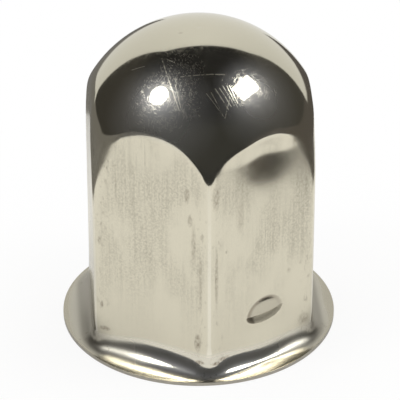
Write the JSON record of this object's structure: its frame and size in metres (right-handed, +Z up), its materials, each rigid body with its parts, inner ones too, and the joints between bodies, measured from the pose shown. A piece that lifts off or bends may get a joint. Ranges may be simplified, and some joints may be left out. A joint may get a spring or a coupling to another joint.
{
  "type": "lug nut cover",
  "caption": "Push-on lug nut cover: a domed, six-sided cap drawn from polished stainless sheet, with a thin round flange at its foot and lanced tangs that grip the nut.",
  "frame": {"origin": "middle of the flange's underside, on the cover's axis", "axes": "+Z up the axis to the top of the dome, +X out of one flat, the corners on the Y axis"},
  "size_m": [0.0446, 0.0446, 0.0522],
  "materials": {
    "polished_stainless": "mirror-polished dome with fine scratches, satin flats with upright draw marks"
  },
  "bodies": {
    "root": {"cover_shell": "polished_stainless"}
  },
  "joints": []
}
